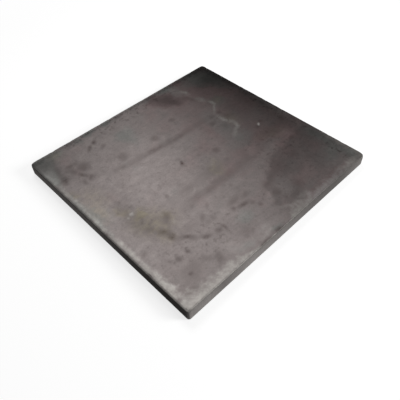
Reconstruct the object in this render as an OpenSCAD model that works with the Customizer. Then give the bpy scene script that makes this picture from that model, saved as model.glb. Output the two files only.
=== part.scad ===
// Square-cut hot rolled steel plate, lying flat on its underside.
// Millimetres. The origin is the middle of the underside, X runs along the longer side, Z is up.

/* [Plate] */
// Length of the plate, along X
plate_length = 300; // [60:1:1000]
// Width of the plate, along Y
plate_width = 285; // [60:1:1000]
// Rolled thickness of the plate, along Z
plate_thickness = 16; // [6:0.5:60]

/* [Edges] */
// Radius of the blunted upright corners, seen from above
corner_radius = 3; // [2.6:0.1:20]
// Radius of the rolled-over arris round the top face
top_arris_radius = 2; // [0.2:0.1:2.5]
// Radius of the eased arris round the underside
bottom_arris_radius = 1; // [0.2:0.1:2.5]

/* [Hidden] */

$fn = 64;

// Worn mill scale: a warm brown grey
scale_grey = [0.50, 0.475, 0.465];

// Length of the straight cut faces, between the blunted corners
straight_x = plate_length - 2 * corner_radius;
straight_y = plate_width - 2 * corner_radius;

// What rounding an arris takes off a square corner: the corner is at the origin
module arris_waste(radius) {
    difference() {
        square(radius);
        translate([radius, radius]) circle(radius);
    }
}

// Upright section of the plate's margin, from the centre line of the corners out to the cut face
module margin_section() {
    difference() {
        square([corner_radius, plate_thickness]);
        translate([corner_radius, plate_thickness]) rotate(180) arris_waste(top_arris_radius);
        translate([corner_radius, 0]) rotate(90) arris_waste(bottom_arris_radius);
    }
}

// One straight margin, with its cut face towards +X
module straight_margin(reach, run) {
    translate([reach, run / 2, 0]) rotate([90, 0, 0]) linear_extrude(run) margin_section();
}

// One blunted corner, towards +X +Y
module blunt_corner() {
    rotate_extrude(angle = 90) margin_section();
}

module steel_plate() {
    color(scale_grey) union() {
        translate([-straight_x / 2, -straight_y / 2, 0]) cube([straight_x, straight_y, plate_thickness]);
        for (turn = [0, 180]) {
            rotate(turn) straight_margin(straight_x / 2, straight_y);
            rotate(turn + 90) straight_margin(straight_y / 2, straight_x);
            rotate(turn) translate([straight_x / 2, straight_y / 2, 0]) blunt_corner();
            rotate(turn) translate([-straight_x / 2, straight_y / 2, 0]) rotate(90) blunt_corner();
        }
    }
}

steel_plate();
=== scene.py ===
import math

import bpy
import numpy as np
from mathutils import Matrix, Vector


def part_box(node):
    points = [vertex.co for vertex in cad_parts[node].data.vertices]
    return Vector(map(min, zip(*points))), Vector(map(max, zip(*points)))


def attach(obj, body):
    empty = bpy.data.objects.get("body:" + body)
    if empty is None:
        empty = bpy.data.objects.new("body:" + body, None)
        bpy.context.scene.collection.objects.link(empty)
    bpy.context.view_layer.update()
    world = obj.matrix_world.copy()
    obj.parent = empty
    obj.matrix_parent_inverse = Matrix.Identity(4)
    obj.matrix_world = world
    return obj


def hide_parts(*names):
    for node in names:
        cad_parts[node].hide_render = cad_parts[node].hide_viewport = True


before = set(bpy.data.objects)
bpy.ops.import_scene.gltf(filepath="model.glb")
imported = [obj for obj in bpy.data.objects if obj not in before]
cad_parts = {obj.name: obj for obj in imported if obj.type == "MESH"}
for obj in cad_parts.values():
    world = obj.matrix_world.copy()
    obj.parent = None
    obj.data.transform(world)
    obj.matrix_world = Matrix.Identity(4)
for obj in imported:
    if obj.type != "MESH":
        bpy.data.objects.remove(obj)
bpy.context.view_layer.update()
plateLow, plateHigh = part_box("steel_plate")
mm = 0.001
print("frame loaded:", ", ".join(sorted(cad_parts)))

# Camera at the photograph's viewing angle, aimed at the middle of the top face and then slid in its own plane
photoView = {
    "azimuth": -42.87,  # degrees round from looking along +Y
    "elevation": 49.16,
    "roll": -2.12,
    "distance": 0.5544,  # metres
    "slideAcross": 0.0038,
    "slideUp": -0.0508,
    "lens": 40.48,  # millimetres, on the sensor below
    "sensor": 36.0,
    "clipStart": 0.01,
}


def aimBack(azimuth, elevation):
    # unit vector from the object towards something at that azimuth and elevation
    turn = math.radians(azimuth)
    rise = math.radians(elevation)
    return Vector((math.sin(turn) * math.cos(rise), -math.cos(turn) * math.cos(rise), math.sin(rise)))


def addCamera(view, target):
    # the level and upright ways across the view, both turned by the roll, are the camera's own X and Y
    turn = math.radians(view["azimuth"])
    roll = math.radians(view["roll"])
    back = aimBack(view["azimuth"], view["elevation"])
    level = Vector((math.cos(turn), math.sin(turn), 0))
    upright = back.cross(level)
    across = math.cos(roll) * level + math.sin(roll) * upright
    up = math.cos(roll) * upright - math.sin(roll) * level
    lensData = bpy.data.cameras.new("photoCamera")
    lensData.lens = view["lens"]
    lensData.sensor_width = view["sensor"]
    lensData.clip_start = view["clipStart"]
    camera = bpy.data.objects.new("photoCamera", lensData)
    bpy.context.scene.collection.objects.link(camera)
    place = target + back * view["distance"] + across * view["slideAcross"] + up * view["slideUp"]
    camera.matrix_world = Matrix.Translation(place) @ Matrix((across, up, back)).transposed().to_4x4()
    bpy.context.scene.camera = camera


topMiddle = Vector((0, 0, plateHigh.z))
addCamera(photoView, topMiddle)
bpy.context.scene.view_settings.view_transform = "Standard"
print("camera set")

# Small helpers for building node trees


def addNode(tree, kind, settings=None, **inputs):
    # a node with its settings, and its inputs by name with an underscore for each space
    node = tree.nodes.new(kind)
    for name, value in (settings or {}).items():
        setattr(node, name, value)
    for name, value in inputs.items():
        feed(tree, node.inputs[name.replace("_", " ")], value)
    return node


def feed(tree, socket, value):
    # a socket takes another node's output, or a plain value
    if isinstance(value, bpy.types.NodeSocket):
        tree.links.new(value, socket)
    else:
        socket.default_value = value


def calc(tree, operation, first, second, clamp=False):
    node = addNode(tree, "ShaderNodeMath", {"operation": operation, "use_clamp": clamp})
    feed(tree, node.inputs[0], first)
    feed(tree, node.inputs[1], second)
    return node.outputs[0]


def aboutNought(tree, noiseValue, amount):
    # what a noise has over one half, times an amount
    return calc(tree, "MULTIPLY", calc(tree, "SUBTRACT", noiseValue, 0.5), amount)


def fadeBetween(tree, value, low, high, toLow=0.0, toHigh=1.0):
    # smooth step of a value from toLow at low to toHigh at high
    node = addNode(tree, "ShaderNodeMapRange", {"interpolation_type": "SMOOTHSTEP"}, Value=value)
    node.inputs["From Min"].default_value = low
    node.inputs["From Max"].default_value = high
    node.inputs["To Min"].default_value = toLow
    node.inputs["To Max"].default_value = toHigh
    return node.outputs["Result"]


def mixColour(tree, share, first, second, blend="MIX"):
    node = addNode(tree, "ShaderNodeMix", {"data_type": "RGBA", "blend_type": blend})
    feed(tree, node.inputs["Factor"], share)
    feed(tree, node.inputs[6], first)  # inputs 6 and 7 and output 2 are the ones for colours
    feed(tree, node.inputs[7], second)
    return node.outputs[2]


def tint(tree, colour, factor):
    # a colour times another colour or a tone
    return mixColour(tree, 1.0, colour, factor, "MULTIPLY")


def veil(tree, share, colour, left):
    # a colour of which only a part is left, wholly where the share is one
    return tint(tree, colour, mixColour(tree, share, (1, 1, 1, 1), left))


def stretch(tree, where, amounts):
    # places multiplied each way, so that a noise is drawn out where the amount is small
    node = addNode(tree, "ShaderNodeVectorMath", {"operation": "MULTIPLY"})
    feed(tree, node.inputs[0], where)
    feed(tree, node.inputs[1], amounts)
    return node.outputs[0]


def noise(tree, where, size, detail, drawn=(1, 1, 1)):
    # noise whose lumps are about that many millimetres across, or longer the way that it is drawn out
    drawnWhere = stretch(tree, where, drawn)
    node = addNode(tree, "ShaderNodeTexNoise", None, Vector=drawnWhere, Scale=1 / size, Detail=detail)
    return node.outputs["Fac"]


def attribute(tree, name):
    return addNode(tree, "ShaderNodeAttribute", {"attribute_name": name}).outputs["Fac"]


def newMaterial(name):
    material = bpy.data.materials.new(name)
    material.use_nodes = True
    material.node_tree.nodes.clear()
    return material, material.node_tree


# Studio: a white floor that keeps the shadow, soft lamps, and white surroundings for the eye and the metal
studio = {
    "skyLevel": 0.13,  # how bright the surroundings light a matt white card
    "floorDrop": 0.2 * mm,  # floor just under the plate
    "floorReach": 6.0,
    "floorColour": (0.40, 0.40, 0.40, 1),
    "floorBounce": (0.14, 0.14, 0.14, 1),  # what the floor throws back on the plate
    "floorGlow": 0.755,
    "fadeFrom": 0.25,  # metres from the middle, where the floor starts to turn into plain white
    "fadeTo": 1.10,
}
lamps = [
    # name, azimuth, elevation, distance, size, level: a matt white card facing the lamp renders at that level
    ("overheadLamp", 156, 56, 1.2, 0.60, 0.35),
    ("sideLamp", 35, 30, 1.4, 0.50, 0.60),
]


def whiteToEye(tree):
    # one for a ray from the camera, or one that gloss or glass has sent on, and nought for the rest
    path = addNode(tree, "ShaderNodeLightPath")
    total = calc(tree, "ADD", path.outputs["Is Camera Ray"], path.outputs["Is Glossy Ray"])
    return calc(tree, "ADD", total, path.outputs["Is Transmission Ray"], clamp=True)


def addWorld():
    # plain white to the eye and in gloss, and the sky's level as light
    world = bpy.data.worlds.new("studioWorld")
    bpy.context.scene.world = world
    world.use_nodes = True
    tree = world.node_tree
    tree.nodes.clear()
    strength = fadeBetween(tree, whiteToEye(tree), 0, 1, studio["skyLevel"], 1.0)
    light = addNode(tree, "ShaderNodeBackground", None, Color=(1, 1, 1, 1), Strength=strength)
    output = addNode(tree, "ShaderNodeOutputWorld")
    tree.links.new(light.outputs[0], output.inputs["Surface"])


def addLamp(name, azimuth, elevation, distance, size, level):
    # a disc turned to the top face, whose power is the level times the squares of pi and the distance
    lampData = bpy.data.lights.new(name, "AREA")
    lampData.shape = "DISK"
    lampData.size = size
    lampData.energy = level * math.pi**2 * distance**2
    lamp = bpy.data.objects.new(name, lampData)
    back = aimBack(azimuth, elevation)
    lamp.location = topMiddle + back * distance
    lamp.rotation_mode = "QUATERNION"
    lamp.rotation_quaternion = (-back).to_track_quat("-Z", "Y")
    bpy.context.scene.collection.objects.link(lamp)


def floorMaterial():
    # to the eye a glowing card that takes shadow near the plate and is plain white far off, else a dull card
    material, tree = newMaterial("floorWhite")
    where = addNode(tree, "ShaderNodeTexCoord").outputs["Object"]
    away = addNode(tree, "ShaderNodeVectorMath", {"operation": "LENGTH"}, Vector=where).outputs["Value"]
    near = fadeBetween(tree, away, studio["fadeFrom"], studio["fadeTo"], 1.0, 0.0)
    shaded = mixColour(tree, near, (0, 0, 0, 1), studio["floorColour"])
    card = addNode(tree, "ShaderNodeBsdfDiffuse", None, Color=shaded)
    glowLevel = fadeBetween(tree, near, 0, 1, 1.0, studio["floorGlow"])
    glow = addNode(tree, "ShaderNodeEmission", None, Color=(1, 1, 1, 1), Strength=glowLevel)
    seen = addNode(tree, "ShaderNodeAddShader")
    tree.links.new(card.outputs[0], seen.inputs[0])
    tree.links.new(glow.outputs[0], seen.inputs[1])
    bounce = addNode(tree, "ShaderNodeBsdfDiffuse", None, Color=studio["floorBounce"])
    pick = addNode(tree, "ShaderNodeMixShader")
    tree.links.new(whiteToEye(tree), pick.inputs[0])
    tree.links.new(bounce.outputs[0], pick.inputs[1])
    tree.links.new(seen.outputs[0], pick.inputs[2])
    output = addNode(tree, "ShaderNodeOutputMaterial")
    tree.links.new(pick.outputs[0], output.inputs["Surface"])
    return material


def addFloor():
    reach = studio["floorReach"]
    corners = np.array([[-reach, -reach], [reach, -reach], [reach, reach], [-reach, reach]])
    points = np.column_stack([corners, np.full(4, -studio["floorDrop"])])
    mesh = bpy.data.meshes.new("floor")
    mesh.from_pydata(points.tolist(), [], [(0, 1, 2, 3)])
    mesh.materials.append(floorMaterial())
    floor = bpy.data.objects.new("floor", mesh)
    bpy.context.scene.collection.objects.link(floor)


addWorld()
for lamp in lamps:
    addLamp(*lamp)
addFloor()
print("studio lit with", len(lamps), "lamps")

# The plate's form: sizes in millimetres, with the overall size taken from the solid
plateForm = {
    "gridStep": 1.6,  # spacing of the points on the two rolled faces
    "cornerRadius": 3.0,
    "cornerCells": 4,  # cells across a blunted corner
    "topArris": 2.0,
    "bottomArris": 1.0,
    "topArrisCells": 5,  # cells down the arris, the cut face and the lower arris
    "faceCells": 8,
    "bottomArrisCells": 3,
    # how far the rolled faces lie inside the solid's, and their waves: height, length, seed
    "topLevel": 0.22,
    "topWaves": [(0.08, 110, 21), (0.03, 30, 22), (0.01, 7, 23)],
    "underLevel": 0.1,
    "underWaves": [(0.06, 90, 41)],
    # how far dirt, bare margins and chips are sunk, and how far a flake's lip stands up
    "dirtSink": 0.10,
    "bareSink": 0.05,
    "chipSink": 0.25,
    "lipRise": 0.20,
    # dents along the top arris, with the least and the most of their size and depth
    "nicks": 46,
    "nickSeed": 12,
    "nickSize": (0.8, 2.6),
    "nickDeep": (0.15, 0.55),
    "nickInward": 0.8,  # share of the depth that goes into the cut face
    "nickDown": 0.6,  # and into the top
    # knocked corners: side in X, side in Y, reach, depth
    "knocks": [(1, -1, 4.0, 1.4), (-1, -1, 4.0, 0.8), (-1, 1, 4.0, 0.9), (1, 1, 4.0, 0.7)],
}
half = (plateHigh - plateLow) / 2 / mm
thick = (plateHigh.z - plateLow.z) / mm


def fade(value, start, end):
    # smooth step in numpy, nought before start and one after end, either way round
    share = np.clip((value - start) / (end - start), 0, 1)
    return share * share * (3 - 2 * share)


def waves(x, y, length, seed, count=14):
    # sum of sine waves of about that length, each in its own seeded direction and phase, about -1 to 1
    rng = np.random.default_rng(seed)
    turns = rng.uniform(0, 2 * np.pi, count)
    lengths = length * rng.uniform(0.65, 1.5, count)
    phases = rng.uniform(0, 2 * np.pi, count)
    total = np.zeros_like(x)
    for turn, span, phase in zip(turns, lengths, phases):
        total += np.sin(2 * np.pi * (x * np.cos(turn) + y * np.sin(turn)) / span + phase)
    return total / np.sqrt(2 * count)


def swell(x, y, layers):
    # layers of waves added up, each with its own height, length and seed
    return sum(height * waves(x, y, length, seed) for height, length, seed in layers)


def sideStops(halfSide, inset):
    # stops along one side: cells of a corner, even steps over the straight, cells of the other corner
    radius = plateForm["cornerRadius"]
    cells = plateForm["cornerCells"]
    straight = halfSide - radius
    middle = np.linspace(-straight, straight, round(2 * straight / plateForm["gridStep"]) + 1)
    outer = straight + (radius - inset) * np.arange(1, cells + 1) / cells
    return np.concatenate([-outer[::-1], middle, outer])


def faceGrid(inset):
    # rounded rectangle as a square grid: past the corner's centre a square of cells is pressed into a
    # quarter disc, each way shortened by the root of one less half the other way's square; it gives the
    # places, and the way out from the corner's centre
    radius = plateForm["cornerRadius"]
    reach = radius - inset
    x, y = np.meshgrid(sideStops(half.x, inset), sideStops(half.y, inset), indexing="ij")
    overX = np.maximum(np.abs(x) - (half.x - radius), 0) / reach
    overY = np.maximum(np.abs(y) - (half.y - radius), 0) / reach
    outX = np.sign(x) * overX * np.sqrt(1 - overY**2 / 2)
    outY = np.sign(y) * overY * np.sqrt(1 - overX**2 / 2)
    x = np.clip(x, radius - half.x, half.x - radius) + reach * outX
    y = np.clip(y, radius - half.y, half.y - radius) + reach * outY
    return np.stack([x, y], -1), np.stack([outX, outY], -1)


def ringOf(index):
    # the rim of a grid of numbers, once round, counter-clockwise from above
    return np.concatenate([index[:-1, 0], index[-1, :-1], index[:0:-1, -1], index[0, :0:-1]])


def marginProfile():
    # way out and height of each row below the top face's rim: quarter round, cut face, quarter round
    top = plateForm["topArris"]
    low = plateForm["bottomArris"]
    turn = np.linspace(0, np.pi / 2, plateForm["topArrisCells"] + 1)[1:]
    upper = np.column_stack([top * np.sin(turn), thick - top + top * np.cos(turn)])
    drop = np.linspace(thick - top, low, plateForm["faceCells"] + 1)[1:]
    face = np.column_stack([np.full(len(drop), top), drop])
    tuck = np.linspace(0, np.pi / 2, plateForm["bottomArrisCells"] + 1)[1:-1]
    under = np.column_stack([top - low + low * np.cos(tuck), low - low * np.sin(tuck)])
    return np.concatenate([upper, face, under])


# What the top face carries, in millimetres from its middle, seen from above with X to the right
topMarks = {
    # places are shaken, so that no rim is regular, and swayed for broad tones: amount, wave length, seed
    "shakeX": [(1.8, 22, 1), (1.2, 8, 2)],
    "shakeY": [(1.8, 22, 3), (1.2, 8, 4)],
    "swayX": [(6, 70, 5)],
    "swayY": [(6, 70, 6)],
    # tone along X, from the worn side to where the scale is whole and dark, which is also a painted fall-off
    # of the sheen, darker where less light is reflected
    "toneAndSheenX": [
        (-150, 0.91), (-125, 0.87), (-100, 0.875), (-75, 0.89), (-30, 0.935), (0, 0.78), (40, 0.72),
        (80, 0.58), (110, 0.43), (130, 0.34), (143, 0.28), (150, 0.3),
    ],
    # what that tone is multiplied by at the far and the near side, and where along Y it comes in: painted
    # sheen, fading towards the far side and lifted on the near side
    "farKeep": [
        (-150, 0.7), (-100, 0.8), (0, 0.9), (60, 0.92), (100, 0.92), (120, 0.92), (150, 0.96),
    ],
    "farSheenSpan": (15, 135),
    "nearSheenLift": [
        (-150, 1.12), (0, 1.15), (60, 1.2), (100, 1.57), (120, 1.76), (135, 2.05), (143, 2.3), (150, 2.15),
    ],
    "nearSheenSpan": (-20, -120),
    # and painted shade on the front arris along X and the left one along Y, from and to so far in from the
    # side
    "frontArrisShade": [(-150, 0.84), (-65, 0.84), (-50, 0.72), (90, 0.74), (115, 0.84), (150, 0.84)],
    "frontArrisShadeSpan": (3, 1),
    "leftArrisShade": [
        (-142, 0.92), (-125, 0.86), (-110, 0.92), (-95, 0.76), (40, 0.74), (60, 0.9), (85, 0.9), (100, 1),
    ],
    "leftArrisShadeSpan": (5.5, 2.7),
    # share of the gloss that is left along X: worn scale is part metal, whole scale is matt
    "shine": [(-150, 1), (0, 1), (40, 0.85), (80, 0.5), (110, 0.2), (130, 0.05), (150, 0)],
    # in front of this slanting line the scale is whole and cooler
    "coolLine": [
        (0, -142), (14, -112), (22, -92), (34, -80), (46, -76), (58, -69), (70, -62), (94, -61), (118, -56),
        (150, -46),
    ],
    "coolDepth": 0.22,
    "coolEdge": (-4, 4),  # from behind the line to in front of it
    "coolStart": (0, 24),  # where along X the line comes in
    "coolEase": 0.35,  # how much weaker it gets well in front of the line
    "coolEaseSpan": (8, 50),
    "coolShift": 0.1,  # how much warmth it takes away
    # warmth, red above nought and green grey below: slow waves, and a rise along X
    "warmthWaves": [(0.2, 40, 7)],
    "warmthRise": 0.55,
    "warmthSpan": (-60, 60),
    # broad patches: x, y, half length, half width, turn, tone, warmth
    "patches": [
        # along the far side
        (-118, 132, 11, 9, 0, 0.94, -1.2), (-97, 136, 9, 8, 0, 0.76, -0.2), (-84, 132, 6, 10, 0, 0.84, -0.9),
        (-65, 137, 11, 7, 0, 0.78, -1.2), (-62, 134, 22, 8, 0, 0.92, 0), (-48, 124, 24, 12, 0, 0.88, -0.2),
        (-38, 137, 9, 8, 0, 0.74, -1), (-25, 134, 12, 9, 0, 0.87, -0.5), (-20, 130, 12, 14, 0, 0.9, 0),
        (-17, 135, 10, 8, 0, 0.82, 0.2), (8, 138, 15, 6, 0, 0.86, -0.5), (30, 137, 16, 7, 0, 1, -0.5),
        (40, 133, 17, 12, 0, 0.79, 0), (60, 122, 14, 18, 0, 0.88, 0), (64, 136, 18, 8, 0, 0.88, -1.3),
        (74, 128, 9, 15, 10, 1.15, -0.9), (92, 134, 14, 8, 0, 0.95, 0.5),
        # the dark corner, partly whole dark scale and partly painted shade, and the lobe of red scale beside
        # the flake
        (49, 117, 32, 18, -50, 0.49, 0.9), (58, 104, 12, 10, 0, 0.88, 0.2), (66, 100, 16, 9, -20, 0.88, 0.3),
        (104, 91, 34, 14, -52, 1, 1.2), (100, 80, 34, 22, 0, 0.91, 0), (104, 66, 14, 9, 40, 1.04, -0.8),
        (114, 118, 20, 22, 0, 1, -0.5), (120, 106, 24, 16, 0, 0.73, 0),
        (130, 122, 38, 28, -40, 0.84, -1.3), (134, 92, 18, 30, 0, 0.72, -0.9),
        (124, 70, 16, 12, -50, 1, 1.2),
        # the far left corner
        (-141, 130, 15, 18, -10, 0.62, -1.2), (-131, 114, 9, 28, -8, 0.78, -0.4),
        (-143, 112, 10, 20, 0, 1, -0.9), (-146, 112, 10, 26, 0, 1, -0.5),
        (-144, 100, 5, 12, -6, 1.12, -0.8), (-116, 99, 16, 20, 0, 1, 0.5), (-117, 92, 18, 15, 0, 0.91, 0),
        (-126, 86, 18, 16, 0, 0.92, 0), (-108, 66, 18, 16, 0, 0.92, 0), (-107, 55, 8, 6, 0, 1.18, 0),
        # the left side, round the olive stain
        (-110, 28, 16, 34, 0, 0.94, 0.2), (-146, 25, 9, 75, 0, 1, -0.7), (-134, 16, 16, 30, 0, 1.06, -0.4),
        (-112, -12, 22, 34, 0, 0.84, 0), (-116, -18, 9, 34, 0, 0.88, 0),
        (-103, -37, 27, 19, -40, 0.91, 0), (-100, -42, 10, 9, 0, 1.08, 0),
        (-104, -44, 26, 20, 0, 0.9, 0), (-130, -46, 12, 12, 0, 0.95, 0), (-140, -60, 8, 8, 0, 1.1, 0),
        # the middle
        (-34, 99, 22, 27, 0, 0.88, -0.85), (-32, 112, 9, 28, 0, 0.95, 0.2), (-45, 90, 34, 22, 0, 0.93, 0),
        (-60, 38, 16, 12, 0, 1.06, -0.4), (-76, 28, 14, 20, 0, 1.08, 0), (-70, -22, 24, 34, 0, 1.06, 0),
        (2, 40, 20, 50, 0, 0.95, 0), (68, 22, 18, 36, 0, 0.97, -0.9), (86, 14, 14, 12, 0, 1.1, 0),
        (66, -8, 12, 10, 0, 1.06, 0), (66, -14, 26, 16, 0, 1, -0.8),
        # along the right side
        (134, 30, 14, 44, 0, 0.9, 0.2), (145, 26, 9, 62, 0, 1, -0.8), (143, -10, 9, 30, 0, 1.14, 0),
        (136, -16, 14, 40, 0, 1.12, 0), (145, -40, 9, 36, 0, 1.32, 0), (138, -56, 14, 20, 0, 1.15, 0),
        (139, -76, 12, 26, 0, 1.1, -1), (141, -98, 12, 42, 0, 1, -0.7),
        # beside the cool line
        (96, -31, 28, 13, -16, 0.95, 0.8), (60, -36, 14, 7, 20, 1.12, 0.1), (57, -41, 12, 9, 0, 1.14, 0),
        (110, -44, 14, 8, -30, 1.12, 0.6), (118, -46, 16, 18, 0, 1.14, 0.3),
        (110, -52, 20, 12, -20, 1.1, 0.2), (70, -53, 38, 9, 13, 1.15, -0.1), (100, -55, 22, 7, 0, 1.08, 0.3),
        (6, -60, 24, 8, 0, 1.1, 0), (112, -66, 24, 14, 0, 1.1, 0), (28, -72, 36, 15, 28, 1.06, -0.2),
        (70, -84, 28, 13, 20, 0.88, 0), (70, -90, 22, 18, 0, 0.92, 0),
        # the near side
        (-36, -84, 12, 9, 0, 1.1, 0), (20, -99, 10, 8, 0, 1.09, 0), (-26, -103, 20, 14, 0, 1, -0.8),
        (40, -104, 18, 14, 0, 1.08, 0), (20, -106, 20, 10, 0, 1.08, 0),
        (124, -112, 24, 16, 30, 1.1, -1.3), (-38, -115, 18, 14, 0, 0.9, 0.2),
        (-66, -116, 14, 14, 0, 1.1, -0.2), (-52, -116, 9, 8, 0, 1.05, 0),
        (-62, -120, 20, 10, 0, 1.08, 0), (44, -122, 26, 16, 0, 1, -0.4),
        # along the front
        (-144, -132, 10, 10, 0, 1, -0.6), (-124, -137, 30, 6, 0, 1.12, 0),
        (-120, -136, 13, 6, 0, 0.88, 0), (-88, -138, 16, 7, 0, 1.07, 0), (-68, -132, 14, 8, 0, 1.05, 0),
        (-58, -128, 20, 9, 0, 1.1, -0.3), (-28, -130, 44, 7, 0, 1.14, -0.3),
        (-13, -138, 11, 6, 0, 1, -1), (0, -139, 10, 6, 0, 1.12, 0), (74, -138, 52, 10, 0, 1, 0.6),
        (108, -126, 26, 12, 0, 1.18, 0), (116, -134, 10, 7, 0, 1.12, 0),
        (122, -137, 14, 7, 0, 1.25, 0), (140, -130, 14, 16, 0, 1, -1),
    ],
    # blotches of trodden-in dirt and pitted scale: x, y, half length, half width, turn, strength
    "blotches": [
        (-82, 112, 7, 4, 42, 0.66), (-71, 117, 7, 4, 58, 0.7), (-67, 103, 8, 4, 28, 0.42),
        (-118, 103, 8, 5, 20, 0.44), (-110, 101, 5, 4, 0, 0.3), (-106, 90, 9, 11, 15, 0.44),
        (-121, 93, 6, 9, 0, 0.34), (-115, 78, 5, 11, 12, 0.56), (-109, 69, 5, 8, -20, 0.46),
        (-120, 67, 4, 6, 15, 0.36), (-134, 104, 6, 17, 0, 0.34), (-136, 87, 7, 9, -20, 0.62),
        (-61, 70, 10, 9, 0, 0.34), (-11, 67, 7, 6, 45, 0.42), (-83, 57, 4, 3, 0, 0.3),
        (-72, 54, 6, 4, 0, 0.36), (-63, 52, 4, 3, 0, 0.3), (-41, 50, 5, 3, 0, 0.4),
        (-34, 49, 4, 3, 0, 0.38), (-25, 49, 5, 3, 0, 0.44), (-13, 47, 4, 4, 20, 0.5),
        (8, 46, 14, 4, 0, 0.5), (6, 3, 4, 4, 0, 0.25), (-67, -50, 5, 3, 20, 0.22),
        (-17, 8, 3.6, 5, -30, 0.85), (-16, 15, 3, 4, 0, 0.25), (29, 79, 6, 5, 0, 0.44),
        (71, 43, 7, 5, 20, 0.46), (61, 33, 6, 6, 0, 0.44), (84, 44, 5, 4, 10, 0.48),
        (88, 32, 6, 5, 0, 0.32), (69, 19, 7, 5, 30, 0.28), (28, -6, 6, 6, 0, 0.48),
        (26, -26, 5, 5, 0, 0.24), (0, -22, 6, 4, 0, 0.24), (-66, -20, 4, 5, 0, 0.36),
        (-56, -50, 6, 4, 30, 0.3), (-88, -42, 12, 7, 45, 0.36), (-125, -34, 5, 4, 0, 0.18),
        (-80, -70, 18, 7, 0, 0.14), (-60, -80, 6, 4, 0, 0.22), (-112, -43, 8, 6, -40, 0.22),
        (-137, -63, 7, 4, 0, 0.32), (-60, -71, 9, 4, 38, 0.34), (-52, -79, 5, 6, 0, 0.26),
        (-115, -92, 4, 4, 0, 0.52), (-102, -91, 4, 3.5, 0, 0.62), (-75, -92, 8, 5, -15, 0.6),
        (-60, -95, 6, 4.5, 0, 0.52), (-52, -97, 4, 7, 0, 0.52), (-27, -86, 5, 5, 0, 0.5),
        (-14, -90, 12, 4, -8, 0.6), (-19, -78, 13, 5, 8, 0.36), (-2, -81, 9, 6, 10, 0.34),
        (-5, -95, 5, 4, 0, 0.38), (-1, -103, 4, 4, 0, 0.5), (28, -117, 4, 3, 0, 0.35),
        (14, -119, 4, 3, 0, 0.3), (29, -86, 5, 7, 20, 0.34), (-118, -113, 5, 4, 0, 0.52),
        (-114, -112, 20, 14, 0, 0.18), (-84, -119, 6, 9, -20, 0.44), (-94, -112, 10, 6, -30, 0.28),
        (-132, -127, 10, 5, 0, 0.22), (25, -105, 7, 9, -30, 0.44), (14, -114, 9, 7, 35, 0.32),
        (40, -121, 15, 6, 10, 0.4), (53, -114, 9, 11, -25, 0.36), (26, -88, 15, 7, 30, 0.26),
        (33, -43, 9, 5, -20, 0.28), (14, -46, 9, 5, 0, 0.2), (113, -58, 8, 4, 20, 0.34),
        (88, -80, 9, 6, 20, 0.22), (62, -71, 8, 6, 30, 0.2), (-14, -140, 7, 3.4, 0, 0.75),
        (-36, -141, 14, 3, 0, 0.55), (98, -14, 4, 4, -30, 0.4), (109, -9, 5, 4, 0, 0.4),
        (78, 92, 6, 14, 25, 0.36), (20, -60, 8, 5, 10, 0.15), (75, -100, 12, 8, 20, 0.2),
        (100, -96, 10, 7, 0, 0.18), (-44, -62, 7, 3, 40, 0.24), (-3, -60, 4, 4, 0, 0.28),
        (134, -24, 8, 5, 40, 0.35), (142, 47, 5, 9, 20, 0.46), (141, 16, 4, 7, 0, 0.44),
        (138, 2, 5, 4, 0, 0.3), (142, -9, 4, 5, 0, 0.4), (144, -33, 4, 5, 0, 0.36),
        (142, 76, 5, 7, 20, 0.4), (140, -70, 6, 6, 0, 0.28), (134, -99, 5, 4, 0, 0.4),
    ],
    "looseWidth": 9,  # blotches with a smaller half width are shaken less
    # where the scale is finely pitted: x, y, half length, half width, turn, strength
    "pitted": [
        (-75, -96, 95, 46, 0, 0.42), (-112, 88, 40, 56, 0, 0.36), (40, -104, 80, 50, 20, 0.46),
        (78, -70, 56, 70, 0, 0.6), (0, 134, 170, 20, 0, 0.95), (142, 10, 16, 150, 0, 1),
        (134, -112, 18, 28, 0, 1), (80, 34, 26, 40, 0, 0.44),
    ],
    "pittedLeast": 0.2,
    # streaks of the rolls and a crooked run of damp: half width, then points with their strength
    "streaks": [
        (8, [(-84, 56, 0.22), (-66, 54, 0.18), (-45, 52, 0.28), (-26, 50, 0.46), (-8, 48, 0.44),
             (14, 47, 0.44)]),
        (8, [(14, 47, 0.44), (38, 47, 0.26), (62, 46, 0.14)]),
        (10, [(-72, -47, 0.04), (-50, -45, 0.3), (0, -46, 0.36), (30, -44, 0.24), (62, -41, 0.08)]),
        (9, [(20, -93, 0.14), (30, -88, 0.28), (44, -82, 0.3), (58, -77, 0.2), (72, -71, 0.08)]),
        (12, [(-76, -28, 0.12), (-10, -29, 0.16), (34, -30, 0.08)]),
        (8, [(-107, -50, 0.24), (-103, -57, 0.56), (-100, -66, 0.56), (-98, -72, 0.34)]),
        (5, [(-98, -70, 0.44), (-90, -78, 0.5), (-84, -86, 0.44), (-76, -91, 0.4)]),
    ],
    "streakShake": 0.5,  # share of the shaking that moves a streak
    "streakLevel": 0.9,  # what is left of its strength, uneven along it
    "streakWaves": [(0.25, 16, 8)],
    # edge of a flake of scale, lifted into a broken pale lip: half width, then points with their strength
    "flakeEdge": [
        (5, [(75, 121, 0), (80, 116, 0.36), (84, 110, 0.9), (83, 104, 0.16), (81, 99, 0)]),
        (8, [(84, 92, 0), (86, 86, 0.36), (88, 80, 0.55), (91, 74, 0.14)]),
        (4, [(93, 72, 0.2), (94, 67, 1), (94, 62, 0.8)]),
        (3, [(94, 62, 0.75), (88, 56, 0.66), (82, 51, 0.56)]),
        (3, [(82, 51, 0.56), (78, 46, 0.1)]),
        (4.5, [(79, 42, 0.1), (78, 35, 0.5), (78, 28, 0.95), (81, 22, 0.5), (84, 16, 0.55),
               (84, 11, 0.62)]),
        (3.5, [(9, -119, 0.1), (14, -124, 0.34), (20, -128, 0.42), (25, -131, 0.1)]),
        (4.5, [(84, 11, 0.62), (81, 6, 0.95), (75, 4, 0.55), (69, -1, 0.55), (62, -4, 0.12)]),
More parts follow.
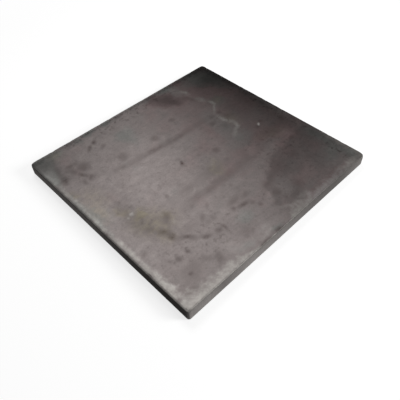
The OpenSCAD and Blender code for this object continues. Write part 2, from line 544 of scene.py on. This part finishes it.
        (4, [(-38, -136, 0.1), (-30, -136, 0.24), (-20, -134, 0.32), (-12, -131, 0.06)]),
        (4, [(-28, -128, 0.06), (-20, -127, 0.28), (-12, -127, 0.04)]),
    ],
    "flakeShake": 0.3,  # and the lip of a flake
    # olive stain: x, y, half length, half width, turn, strength
    "stains": [
        (-105, -18, 13, 8, 50, 2.2), (-119, -2, 17, 9, -70, 0.9), (-103, -37, 33, 24, -40, 1),
        (-86, -42, 14, 14, -20, 0.9), (-104, -58, 12, 17, 0, 1), (7, -25, 17, 12, 45, 0.8),
        (4, -34, 12, 10, 0, 0.8), (-136, 18, 12, 22, 0, 0.8), (-120, 130, 12, 12, 0, 0.6),
        (-140, 57, 8, 8, 0, 1), (-128, 36, 18, 26, 0, 0.6), (88, 24, 12, 20, 0, 0.6),
        (104, 66, 14, 9, 40, 0.8), (100, -34, 26, 12, -16, 0.5),
    ],
    # chips down to bright metal: x, y, half length, half width, turn, strength
    "chips": [
        (103, -11, 3.4, 1.8, 42, 0.65), (-112, -11, 3.6, 3.2, 0, 0.3), (-118, -13, 2.4, 2.4, 0, 0.18),
        (-143, -104, 5, 1.6, -70, 0.3), (-140, -111, 4, 1.6, -70, 0.34), (-137, -114, 3, 1.4, 20, 0.2),
    ],
    # width of the rubbed bare margin along three sides
    "bareLeft": [
        (-142, 9), (-125, 7), (-110, 6.4), (-50, 5.6), (-25, 5), (12, 5.2), (24, 4.4), (40, 5.4), (55, 4.4),
        (70, 3.8), (84, 5), (102, 4.6), (114, 2.4), (122, 1), (142, 0.5),
    ],
    "bareFront": [
        (-150, 13), (-110, 9), (-76, 8), (-62, 4), (-50, 2), (5, 0.8), (14, 6), (20, 10), (50, 10), (57, 7),
        (118, 7), (124, 8), (150, 9),
    ],
    "bareRight": [(-142, 9), (-118, 6), (-80, 3), (-20, 0.5), (142, 0.5)],
    # the left one's strength along Y, how patchy it is and how steep its rim
    "rubLeft": [
        (-142, 0.85), (-125, 0.68), (-112, 0.8), (-85, 0.64), (0, 0.55), (25, 0.34), (40, 0.5), (60, 0.45),
        (110, 0.45),
    ],
    "rubWaves": [(0.3, 15, 9)],
    "rubSteep": 2,
    # width of the sooty margin along two sides, and how much of it is worn off on the arris
    "sootFar": [(-150, 8), (-110, 6), (-90, 7.5), (-35, 7), (0, 5), (20, 6), (80, 8), (150, 12)],
    "sootRight": [(-142, 0.5), (-100, 2), (-40, 1.2), (20, 3), (75, 8), (142, 13)],
    "sootWorn": 0.6,
    "sootWornSpan": (5.5, 2.5),
}


def ellipse(x, y, midX, midY, longHalf, shortHalf, turn):
    # one in the middle of a turned ellipse, falling smoothly to nought a quarter past its rim
    angle = np.radians(turn)
    along = (x - midX) * np.cos(angle) + (y - midY) * np.sin(angle)
    across = (y - midY) * np.cos(angle) - (x - midX) * np.sin(angle)
    return 1 - fade(np.hypot(along / longHalf, across / shortHalf), 0.1, 1.25)


def strongest(x, y, marks):
    # the most that any of the turned ellipses gives, each times its own strength
    most = np.zeros_like(x)
    for *oval, strength in marks:
        most = np.maximum(most, strength * ellipse(x, y, *oval))
    return most


def lineShare(x, y, halfWidth, points):
    # strength of a crooked line: each straight run's own, falling to nought at the half width from it
    most = np.zeros_like(x)
    for (startX, startY, startStrength), (endX, endY, endStrength) in zip(points[:-1], points[1:]):
        runX = endX - startX
        runY = endY - startY
        share = np.clip(((x - startX) * runX + (y - startY) * runY) / (runX**2 + runY**2), 0, 1)
        apart = np.hypot(x - startX - share * runX, y - startY - share * runY)
        strength = startStrength + share * (endStrength - startStrength)
        most = np.maximum(most, strength * (1 - fade(apart, 0.1 * halfWidth, halfWidth)))
    return most


def stops(value, pairs):
    # straight runs between pairs of place and amount
    places, amounts = zip(*pairs)
    return np.interp(value, places, amounts)


def keepFactor(place, pairs, way, span):
    # one before the span along the way, and the amount from the pairs after it
    return 1 + (stops(place, pairs) - 1) * fade(way, *span)


def margin(apart, width, steep=1):
    # nought at twice the width from the arris, rising towards it, and stopped at one sooner where it is steep
    return np.clip(steep * (1 - apart / width / 2), 0, 1)


def topFields(x, y):
    # every mark of the top face as an amount at each point, with the places shaken or swayed first
    fromLeft = x + half.x
    fromRight = half.x - x
    fromFront = y + half.y
    fromFar = half.y - y
    shakeX = swell(x, y, topMarks["shakeX"])
    shakeY = swell(x, y, topMarks["shakeY"])
    wobbleX = x + shakeX
    wobbleY = y + shakeY
    wideX = x + swell(x, y, topMarks["swayX"])
    wideY = y + swell(x, y, topMarks["swayY"])

    # the tone is partly the scale's own and partly painted sheen, falling off along X and towards the far
    # side
    tone = stops(wideX, topMarks["toneAndSheenX"])
    tone = tone * keepFactor(x, topMarks["farKeep"], wideY, topMarks["farSheenSpan"])
    tone = tone * keepFactor(x, topMarks["nearSheenLift"], wideY, topMarks["nearSheenSpan"])
    # painted shade along the front and the left arris
    tone = tone * keepFactor(x, topMarks["frontArrisShade"], fromFront, topMarks["frontArrisShadeSpan"])
    tone = tone * keepFactor(y, topMarks["leftArrisShade"], fromLeft, topMarks["leftArrisShadeSpan"])
    past = stops(wobbleX, topMarks["coolLine"]) - wobbleY
    ahead = fade(past, *topMarks["coolEdge"]) * fade(x, *topMarks["coolStart"])
    eased = 1 - topMarks["coolEase"] * fade(past, *topMarks["coolEaseSpan"])
    tone = tone * (1 - topMarks["coolDepth"] * ahead * eased)
    warmth = swell(x, y, topMarks["warmthWaves"]) - topMarks["coolShift"] * ahead
    warmth = warmth + topMarks["warmthRise"] * fade(wideX, *topMarks["warmthSpan"])
    for *oval, patchTone, patchWarmth in topMarks["patches"]:
        share = ellipse(wobbleX, wobbleY, *oval)
        tone = tone * (1 + (patchTone - 1) * share)
        warmth = warmth + patchWarmth * share

    dirt = np.zeros_like(x)
    for midX, midY, longHalf, shortHalf, turn, strength in topMarks["blotches"]:
        loose = min(1, shortHalf / topMarks["looseWidth"])
        share = ellipse(x + loose * shakeX, y + loose * shakeY, midX, midY, longHalf, shortHalf, turn)
        dirt = np.maximum(dirt, strength * share)
    loose = topMarks["streakShake"]
    uneven = topMarks["streakLevel"] + swell(x, y, topMarks["streakWaves"])
    for halfWidth, points in topMarks["streaks"]:
        share = lineShare(x + loose * shakeX, y + loose * shakeY, halfWidth, points)
        dirt = np.maximum(dirt, share * uneven)
    flake = np.zeros_like(x)
    loose = topMarks["flakeShake"]
    for halfWidth, points in topMarks["flakeEdge"]:
        flake = np.maximum(flake, lineShare(x + loose * shakeX, y + loose * shakeY, halfWidth, points))

    patchy = (1 + swell(x, y, topMarks["rubWaves"])) * stops(y, topMarks["rubLeft"])
    bare = patchy * margin(fromLeft, stops(y, topMarks["bareLeft"]), topMarks["rubSteep"])
    bare = np.maximum(bare, margin(fromFront, stops(x, topMarks["bareFront"])))
    bare = np.maximum(bare, margin(fromRight, stops(y, topMarks["bareRight"])))
    soot = margin(fromFar, stops(x, topMarks["sootFar"]))
    soot = np.maximum(soot, margin(fromRight, stops(y, topMarks["sootRight"])))
    onArris = fade(np.minimum(fromRight, fromFar), *topMarks["sootWornSpan"])
    soot = soot * (1 - topMarks["sootWorn"] * onArris)
    return {
        "tone": tone,
        "shine": stops(wideX, topMarks["shine"]),
        "warmth": warmth,
        "dirt": dirt,
        "pitted": np.maximum(topMarks["pittedLeast"], strongest(wobbleX, wobbleY, topMarks["pitted"])),
        "olive": strongest(wobbleX, wobbleY, topMarks["stains"]),
        "flake": flake,
        "chip": strongest(x, y, topMarks["chips"]),
        "bare": bare,
        "soot": soot,
    }


# What the underside carries
underMarks = {
    # levels with waves: height, length, seed
    "tone": 0.55,
    "toneWaves": [(0.12, 80, 31)],
    "warmthWaves": [(0.3, 50, 32)],
    "pitted": 0.4,
    "pittedWaves": [(0.2, 60, 35)],
    "shine": 0.8,
    # clouds: strength, wave length, seed, and the span of the wave in which they come in
    "dirt": (0.5, 30, 33, (0.5, 1.3)),
    "olive": (0.5, 45, 34, (0.6, 1.4)),
    "bareRim": 7,
}


def clouds(x, y, strength, length, seed, span):
    # waves cut off below the start of the span, so that only their crests are left
    return strength * fade(waves(x, y, length, seed), *span)


def underFields(x, y):
    # the underside: even scale, darker in broad clouds, bare at the rim
    rim = np.minimum(half.x - np.abs(x), half.y - np.abs(y))
    none = np.zeros_like(x)
    return {
        "tone": underMarks["tone"] + swell(x, y, underMarks["toneWaves"]),
        "shine": np.full_like(x, underMarks["shine"]),
        "warmth": swell(x, y, underMarks["warmthWaves"]),
        "dirt": clouds(x, y, *underMarks["dirt"]),
        "pitted": underMarks["pitted"] + swell(x, y, underMarks["pittedWaves"]),
        "olive": clouds(x, y, *underMarks["olive"]),
        "flake": none,
        "chip": none,
        "bare": margin(rim, underMarks["bareRim"]),
        "soot": none,
    }


def topSink(x, y, fields):
    # how far the top lies under the solid's face: gentle waves, sunk blotches, margins and chips, raised lip
    sink = plateForm["topLevel"] + swell(x, y, plateForm["topWaves"])
    sink = sink + plateForm["dirtSink"] * fields["dirt"] + plateForm["bareSink"] * fields["bare"]
    sink = sink + plateForm["chipSink"] * fields["chip"] - plateForm["lipRise"] * fields["flake"]
    return np.maximum(sink, 0)


def underRise(x, y):
    # how far the underside lies above the solid's: gentle waves
    return np.maximum(plateForm["underLevel"] + swell(x, y, plateForm["underWaves"]), 0)


# The four cut faces: tone along each, and how the blade left them
cutMarks = {
    "front": [
        (-150, 1.28), (-122, 1.32), (-110, 1.14), (-101, 0.90), (-80, 1.12), (-58, 1.28), (-40, 1.16),
        (0, 0.95), (40, 0.72), (80, 0.60), (102, 0.60), (122, 0.74), (150, 0.88),
    ],
    "left": [(-142, 0.60), (-120, 0.55), (-60, 0.72), (-20, 1.05), (20, 1.55), (60, 1.65), (142, 1.65)],
    "others": 1.0,
    "othersWaves": [(0.12, 70, 61)],
    "sideSpan": (4, 1),  # how far in from a side its own marks start, and are whole
    "wrap": 2.0,  # how far down the rolled skin turns over the arris, and how much further on the worn side
    "wrapLeft": 2.4,
    # how far the blade's face lies inside the solid's, and its waves
    "level": 0.12,
    "levelWaves": [(0.06, 60, 51)],
    "scoring": [(0.035, 4.0, 52)],
    "scoringDrawn": 0.15,  # the scoring is drawn out down the cut
    # the torn part low down: share of the thickness where it starts, how uneven and soft that line is
    "tearHeight": 0.60,
    "tearWaves": [(0.05, 14, 53)],
    "tearSoft": 0.05,
    "tearFoot": (0.4, 1.8),  # heights between which it fades out again
    "tear": 0.10,  # how far it lies back
    "tearRough": [(0.5, 3.2, 54)],
}


def cutTone(x, y):
    # tone of a cut face: the stops of the side that is nearest, and slow waves on the other two
    front = stops(x, cutMarks["front"])
    left = stops(y, cutMarks["left"])
    others = cutMarks["others"] + swell(x, y, cutMarks["othersWaves"])
    toFront = fade(y + half.y, *cutMarks["sideSpan"])
    toLeft = fade(x + half.x, *cutMarks["sideSpan"])
    return others + toFront * (front - others) + (1 - toFront) * toLeft * (left - others)


def bladeSink(x, y, height, way):
    # how far a cut face lies inside the solid: slow waves, upright scoring, and a rougher torn part low down
    around = x * way[:, 1] - y * way[:, 0]
    level = cutMarks["level"] + swell(around, height, cutMarks["levelWaves"])
    scoring = swell(around, height * cutMarks["scoringDrawn"], cutMarks["scoring"])
    over = height / thick + swell(around, height, cutMarks["tearWaves"]) - cutMarks["tearHeight"]
    torn = fade(over, cutMarks["tearSoft"], -cutMarks["tearSoft"]) * fade(height, *cutMarks["tearFoot"])
    rough = cutMarks["tear"] * (1 + swell(around, height, cutMarks["tearRough"]))
    return np.maximum(level + scoring + torn * rough, 0)


def nickDepth(x, y, height):
    # depth of the dents along the top arris: round hollows at seeded places, and at the four corners
    rng = np.random.default_rng(plateForm["nickSeed"])
    depth = np.zeros_like(x)
    for placeX, placeY in rng.uniform(-1, 1, (plateForm["nicks"], 2)) * (half.x, half.y):
        spots = [(placeX, -half.y), (placeX, half.y), (-half.x, placeY), (half.x, placeY)]
        spotX, spotY = spots[rng.integers(4)]
        size = rng.uniform(*plateForm["nickSize"])
        deep = rng.uniform(*plateForm["nickDeep"])
        apart = (x - spotX) ** 2 + (y - spotY) ** 2 + (height - thick) ** 2
        depth = np.maximum(depth, deep * np.exp(-apart / size**2))
    for sideX, sideY, reach, deep in plateForm["knocks"]:
        apart = (x - sideX * half.x) ** 2 + (y - sideY * half.y) ** 2 + (height - thick) ** 2
        depth = np.maximum(depth, deep * np.exp(-apart / reach**2))
    return depth


# Finish of the plate: colours are linear
finish = {
    "scale": (0.164, 0.144, 0.140, 1),
    "scaleDeep": (0.154, 0.134, 0.130, 1),
    "neutral": (0.150, 0.148, 0.141, 1),
    "rusty": (0.172, 0.127, 0.125, 1),
    "olive": (0.160, 0.140, 0.112, 1),
    "lip": (0.300, 0.286, 0.270, 1),
    "bare": (0.257, 0.242, 0.227, 1),
    "bareCool": (0.242, 0.244, 0.230, 1),
    "bareWarm": (0.262, 0.238, 0.236, 1),
    "fleck": (1.15, 1.16, 1.16, 1),  # how much brighter the flecks in the bare margin are
    "dirt": (0.42, 0.38, 0.37, 1),  # what a blotch leaves of the colour under it
    "soot": (0.43, 0.46, 0.46, 1),  # and what the sooty margin leaves
    "chip": (0.40, 0.39, 0.37, 1),
    "cutBright": (0.365, 0.339, 0.326, 1),
    "cutDark": (0.169, 0.157, 0.151, 1),
    # noises: lump size in millimetres, detail, and what places are multiplied by where it is drawn out
    "noises": {
        "cloud": (34, 4),
        "lump": (8, 4),
        "grain": (2.2, 3),
        "pit": (5, 2),
        "dust": (0.7, 2),
        "rolled": (2.5, 3, (0.05, 1, 1)),  # drawn out along the rolling
        "drag": (1.4, 3, (1, 1, 0.15)),  # and down the cut
    },
    # spread of a noise or a mark: from, to, and what it gives at each, nought and one where none is said
    "cloudShare": (0.35, 0.65),
    "rustyShare": (0.1, 1.0, 0.0, 0.8),
    "neutralShare": (-0.1, -0.9, 0.0, 0.85),
    "oliveShare": (0.3, 0.65, 0.2, 0.75),
    "grainTone": (0.3, 0.7, 0.96, 1.04),
    "rolledTone": (0.3, 0.7, -0.02, 0.02),
    "dustTone": (0.3, 0.7, -0.04, 0.04),
    "rubbedShare": (0.05, 1.05),
    "coolShare": (-0.2, -1.0),
    "warmShare": (0.3, 1.2),
    "fleckPit": (0.35, 0.68),
    "fleckGrain": (0.35, 0.65, 0.4, 1.0),
    "lipGrain": (0.3, 0.65, 0.6, 1.0),
    "sootShare": (0.20, 0.90),
    "soilGrain": (0.7, 1.3, 0.6, 1.3),
    "pitShare": (0.50, 0.75),
    "chipGrain": (0.2, 0.6, 0.6, 1.0),
    # painted shade in a line under the arris, and the torn band low down made lighter, partly as a painted
    # reflection from below
    "cutArrisShade": (1.4, 3.4, 0.50, 0.82),  # millimetres under the top
    "cutTornAndReflection": (0.7, 0.45, 0.0, 0.12),  # shares of the thickness
    "cutGrain": (0.25, 0.7, 0.85, 1.1),
    "cutDrag": (0.3, 0.7, 0.88, 1.08),
    "lumpRough": (0.3, 0.7, 0.46, 0.43),
    "cutRough": (0.0, 0.3, 0.0, 0.3),
    "metal": (0.0, 0.3, 0.60, 0.0),  # from the scale to the cut face
    # how strongly the noises shift a mark
    "warmthLump": 0.6,
    "mottleLeast": 0.1,
    "mottlePitted": 0.4,
    "rubbedPit": 0.6,
    "sootGrain": 0.9,
    "cutWander": 4.0,  # millimetres
    "rubbedMost": 0.9,
    "lipMost": 0.85,
    "pitDark": 0.85,  # how dark a pit is beside a blotch
    "soilRough": 0.12,
    "specular": 0.0,  # the gloss comes from the share of metal alone
    "reliefShare": 0.5,  # of the grain and of the dust in the fine relief
    "reliefStrength": 0.3,
    "reliefHeight": 0.2 * mm,
}


def scaleColour(tree, grains):
    # worn mill scale, cloudy, turning green grey or red brown by its warmth
    lump = grains["lump"]
    grain = grains["grain"]
    cloudy = fadeBetween(tree, grains["cloud"], *finish["cloudShare"])
    colour = mixColour(tree, cloudy, finish["scaleDeep"], finish["scale"])
    warmth = calc(tree, "ADD", attribute(tree, "warmth"), aboutNought(tree, lump, finish["warmthLump"]))
    colour = mixColour(tree, fadeBetween(tree, warmth, *finish["rustyShare"]), colour, finish["rusty"])
    colour = mixColour(tree, fadeBetween(tree, warmth, *finish["neutralShare"]), colour, finish["neutral"])
    stain = calc(tree, "MULTIPLY", attribute(tree, "olive"), fadeBetween(tree, lump, *finish["oliveShare"]))
    colour = mixColour(tree, stain, colour, finish["olive"])
    swing = calc(tree, "MULTIPLY", attribute(tree, "pitted"), finish["mottlePitted"])
    mottle = aboutNought(tree, lump, calc(tree, "ADD", swing, finish["mottleLeast"]))
    for name in ("grain", "rolled", "dust"):
        mottle = calc(tree, "ADD", mottle, fadeBetween(tree, grains[name], *finish[name + "Tone"]))
    colour = tint(tree, colour, mottle)

    # rubbed margins with grainy rims and pale flecks, and the lifted lip
    ragged = calc(tree, "SUBTRACT", lump, 0.5)
    worn = calc(tree, "ADD", ragged, aboutNought(tree, grains["pit"], finish["rubbedPit"]))
    rubbed = fadeBetween(tree, calc(tree, "ADD", attribute(tree, "bare"), worn), *finish["rubbedShare"])
    cool = fadeBetween(tree, warmth, *finish["coolShare"])
    steel = mixColour(tree, cool, finish["bare"], finish["bareCool"])
    steel = mixColour(tree, fadeBetween(tree, warmth, *finish["warmShare"]), steel, finish["bareWarm"])
    colour = mixColour(tree, calc(tree, "MULTIPLY", rubbed, finish["rubbedMost"]), colour, steel)
    fleck = calc(tree, "MULTIPLY", rubbed, fadeBetween(tree, grains["pit"], *finish["fleckPit"]))
    fleck = calc(tree, "MULTIPLY", fleck, fadeBetween(tree, grain, *finish["fleckGrain"]))
    colour = mixColour(tree, fleck, colour, tint(tree, steel, finish["fleck"]))
    lip = calc(tree, "MULTIPLY", attribute(tree, "flake"), fadeBetween(tree, grain, *finish["lipGrain"]))
    colour = mixColour(tree, calc(tree, "MULTIPLY", lip, finish["lipMost"]), colour, finish["lip"])

    # soot, dirt and the tone lie over all of it, and a chip goes through it; the tone is partly the scale's
    # own and partly painted sheen and shade
    ragged = calc(tree, "ADD", ragged, aboutNought(tree, grain, finish["sootGrain"]))
    sooty = fadeBetween(tree, calc(tree, "ADD", attribute(tree, "soot"), ragged), *finish["sootShare"])
    colour = veil(tree, sooty, colour, finish["soot"])
    soil = fadeBetween(tree, calc(tree, "ADD", lump, grain), *finish["soilGrain"])
    soil = calc(tree, "MULTIPLY", attribute(tree, "dirt"), soil, clamp=True)
    pit = fadeBetween(tree, grains["pit"], *finish["pitShare"])
    pit = calc(tree, "MULTIPLY", attribute(tree, "pitted"), pit)
    soil = calc(tree, "MAXIMUM", soil, calc(tree, "MULTIPLY", pit, finish["pitDark"]))
    colour = veil(tree, soil, colour, finish["dirt"])
    colour = tint(tree, colour, attribute(tree, "tone"))
    chip = calc(tree, "MULTIPLY", attribute(tree, "chip"), fadeBetween(tree, grain, *finish["chipGrain"]))
    return mixColour(tree, chip, colour, finish["chip"]), soil


def cutColour(tree, grains, height):
    # dull sheared face: a darker line under the arris, which is painted shade, then a smooth band over a
    # torn, speckled one that is lighter, partly as a painted reflection from below
    wander = calc(tree, "ADD", height, aboutNought(tree, grains["lump"], finish["cutWander"]))
    share = fadeBetween(tree, calc(tree, "SUBTRACT", thick, wander), *finish["cutArrisShade"])
    low = fadeBetween(tree, calc(tree, "DIVIDE", wander, thick), *finish["cutTornAndReflection"])
    share = calc(tree, "ADD", share, low)
    share = calc(tree, "MULTIPLY", share, fadeBetween(tree, grains["grain"], *finish["cutGrain"]))
    share = calc(tree, "MULTIPLY", share, fadeBetween(tree, grains["drag"], *finish["cutDrag"]))
    colour = mixColour(tree, share, finish["cutDark"], finish["cutBright"])
    return tint(tree, colour, attribute(tree, "cutTone"))


def plateMaterial():
    material, tree = newMaterial("millScale")
    metres = addNode(tree, "ShaderNodeTexCoord").outputs["Object"]
    where = stretch(tree, metres, (1 / mm, 1 / mm, 1 / mm))  # in millimetres
    grains = {name: noise(tree, where, *values) for name, values in finish["noises"].items()}
    height = addNode(tree, "ShaderNodeSeparateXYZ", None, Vector=where).outputs["Z"]
    cut = attribute(tree, "cut")
    rolledColour, soil = scaleColour(tree, grains)
    colour = mixColour(tree, cut, rolledColour, cutColour(tree, grains, height))

    # gloss and fine relief
    rough = fadeBetween(tree, grains["lump"], *finish["lumpRough"])
    rough = calc(tree, "ADD", rough, calc(tree, "MULTIPLY", soil, finish["soilRough"]))
    rough = calc(tree, "ADD", rough, fadeBetween(tree, cut, *finish["cutRough"]))
    metal = calc(tree, "MULTIPLY", fadeBetween(tree, cut, *finish["metal"]), attribute(tree, "shine"))
    relief = calc(tree, "ADD", grains["grain"], grains["dust"])
    relief = calc(tree, "MULTIPLY", relief, finish["reliefShare"])
    bump = addNode(tree, "ShaderNodeBump", None, Height=relief)
    bump.inputs["Strength"].default_value = finish["reliefStrength"]
    bump.inputs["Distance"].default_value = finish["reliefHeight"]
    steel = addNode(tree, "ShaderNodeBsdfPrincipled", None, Base_Color=colour, Roughness=rough)
    feed(tree, steel.inputs["Metallic"], metal)
    steel.inputs["Specular IOR Level"].default_value = finish["specular"]
    tree.links.new(bump.outputs[0], steel.inputs["Normal"])
    output = addNode(tree, "ShaderNodeOutputMaterial")
    tree.links.new(steel.outputs[0], output.inputs["Surface"])
    return material


def buildPlate():
    # two square grids for the rolled faces, joined by the margin's profile carried round their rims
    topFlat, topOut = faceGrid(plateForm["topArris"])
    lowFlat, lowOut = faceGrid(plateForm["bottomArris"])
    across, along = topFlat.shape[:2]
    topIndex = np.arange(across * along).reshape(across, along)
    lowIndex = topIndex + topIndex.size
    topRing = ringOf(topIndex)
    rim = topFlat.reshape(-1, 2)[topRing]
    out = topOut.reshape(-1, 2)[topRing]
    profile = marginProfile()
    rows = len(profile)
    bandFlat = rim[None] + profile[:, None, :1] * out[None]
    bandIndex = lowIndex.size * 2 + np.arange(rows * len(rim)).reshape(rows, len(rim))

    # height, and how much each point belongs to the top, the cut face or the underside
    bandHeight = np.repeat(profile[:, 1], len(rim))
    height = np.concatenate([np.full(topIndex.size, thick), np.zeros(lowIndex.size), bandHeight])
    flat = np.concatenate([topFlat.reshape(-1, 2), lowFlat.reshape(-1, 2), bandFlat.reshape(-1, 2)])
    x = flat[:, 0]
    y = flat[:, 1]
    above = fade(height, thick - plateForm["topArris"], thick)
    below = fade(height, plateForm["bottomArris"], 0)
    upper = topFields(x, y)
    under = underFields(x, y)
    fields = {name: np.where(height > thick / 2, upper[name], under[name]) for name in upper}
    wrap = cutMarks["wrap"] + cutMarks["wrapLeft"] * fade(x + half.x, *cutMarks["sideSpan"])
    fields["cut"] = 1 - np.maximum(fade(height, thick - wrap, thick), below)
    fields["cutTone"] = cutTone(x, y)

    # relief: the rolled faces sink, the cut faces keep the marks of the blade, the arris carries nicks
    height = height - above * topSink(x, y, upper) + below * underRise(x, y)
    way = np.concatenate([topOut.reshape(-1, 2), lowOut.reshape(-1, 2), np.tile(out, (rows, 1))])
    onRim = np.linalg.norm(way, axis=1) > 0.999  # the way out is one long there and shorter inside
    nick = nickDepth(x, y, height)
    inward = onRim * (bladeSink(x, y, height, way) + plateForm["nickInward"] * nick)
    x = x - way[:, 0] * inward
    y = y - way[:, 1] * inward
    height = np.clip(height - plateForm["nickDown"] * nick, 0, thick)

    points = np.column_stack([x, y, height]) * mm
    topQuads = np.stack([topIndex[:-1, :-1], topIndex[1:, :-1], topIndex[1:, 1:], topIndex[:-1, 1:]], -1)
    lowQuads = np.stack([lowIndex[:-1, :-1], lowIndex[:-1, 1:], lowIndex[1:, 1:], lowIndex[1:, :-1]], -1)
    rings = np.concatenate([topRing[None], bandIndex, ringOf(lowIndex)[None]])
    turned = np.roll(rings, -1, axis=1)
    bandQuads = np.stack([rings[:-1], rings[1:], turned[1:], turned[:-1]], -1)
    quads = np.concatenate([topQuads.reshape(-1, 4), lowQuads.reshape(-1, 4), bandQuads.reshape(-1, 4)])

    mesh = bpy.data.meshes.new("steelPlate")
    mesh.vertices.add(len(points))
    mesh.loops.add(quads.size)
    mesh.polygons.add(len(quads))
    mesh.vertices.foreach_set("co", points.astype(np.float32).ravel())
    mesh.loops.foreach_set("vertex_index", quads.astype(np.int32).ravel())
    mesh.polygons.foreach_set("loop_start", np.arange(0, quads.size, 4, dtype=np.int32))
    mesh.materials.append(plateMaterial())
    mesh.update(calc_edges=True)
    mesh.validate()
    mesh.shade_smooth()
    for name, amount in fields.items():
        layer = mesh.attributes.new(name, "FLOAT", "POINT")
        layer.data.foreach_set("value", amount.astype(np.float32))
    plate = bpy.data.objects.new("rolledPlate", mesh)
    bpy.context.scene.collection.objects.link(plate)
    print("plate built:", len(points), "points,", 2 * len(quads), "triangles")
    return plate


plate = buildPlate()
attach(plate, "root")
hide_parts("steel_plate")
print("finish on")
